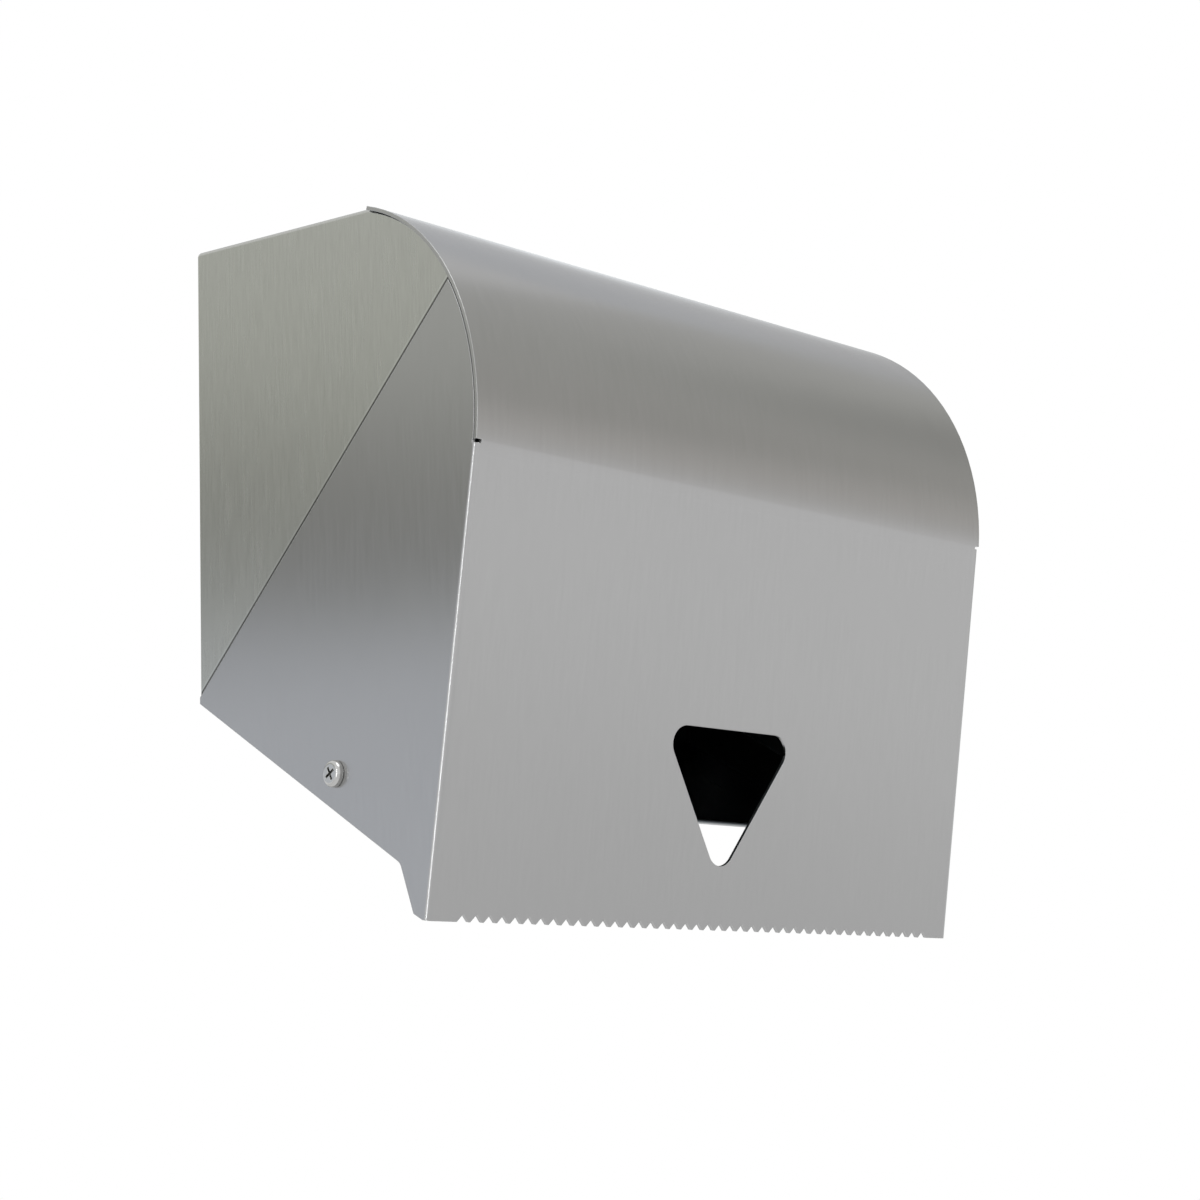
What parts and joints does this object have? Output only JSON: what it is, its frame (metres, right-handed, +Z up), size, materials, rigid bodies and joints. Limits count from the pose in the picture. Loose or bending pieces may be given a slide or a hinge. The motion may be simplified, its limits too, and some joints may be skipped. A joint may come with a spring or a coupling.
{
  "type": "paper towel dispenser",
  "caption": "Wall-mounted stainless steel paper towel dispenser with a rolled front cover, triangular viewing window, serrated tear edge and a cam lock in its sloping top.",
  "frame": {"origin": "middle of the four wall holes, on the wall face of the rear housing", "axes": "+X to the right as seen from the front, +Y into the wall, +Z up"},
  "size_m": [0.245, 0.156, 0.2514],
  "materials": {
    "steel": "vertical satin brushed stainless sheet",
    "tray_steel": "mill-finish stainless sheet",
    "fastener_steel": "bright turned stainless",
    "lock_chrome": "polished chrome plate",
    "brass": "turned brass",
    "nylon": "natural nylon",
    "rubber": "matt black rubber"
  },
  "bodies": {
    "housing": {"rear_housing": "steel", "rest_strip_left": "tray_steel", "rest_strip_right": "tray_steel", "bumper_left": "rubber", "bumper_right": "rubber", "paper_tray": "tray_steel", "tray_rivets": "fastener_steel", "pivot_screw_left": "fastener_steel", "pivot_screw_right": "fastener_steel", "friction_washer_left": "nylon", "friction_washer_right": "nylon", "lock_nut_left": "fastener_steel", "lock_nut_right": "fastener_steel", "nut_insert_left": "nylon", "nut_insert_right": "nylon", "lock_body": "lock_chrome", "lock_washer": "fastener_steel", "lock_ring_nut": "fastener_steel"},
    "cover": {"front_cover": "steel", "keeper": "tray_steel", "pivot_bush_left": "brass", "pivot_bush_right": "brass"},
    "cam": {"lock_plug": "lock_chrome", "lock_cam": "fastener_steel", "cam_washer": "fastener_steel", "cam_screw": "fastener_steel"}
  },
  "joints": [
    {"name": "cover_hinge", "type": "hinge", "parent": "housing", "child": "cover", "pos_m": [0, -0.08032, -0.11938], "axis": [1, 0, 0], "range_deg": [0, 140]},
    {"name": "cam_turn", "type": "hinge", "parent": "housing", "child": "cam", "pos_m": [0, -0.07884, 0.0681], "axis": [0, -0.1736, 0.9848], "range_deg": [0, 90]}
  ]
}
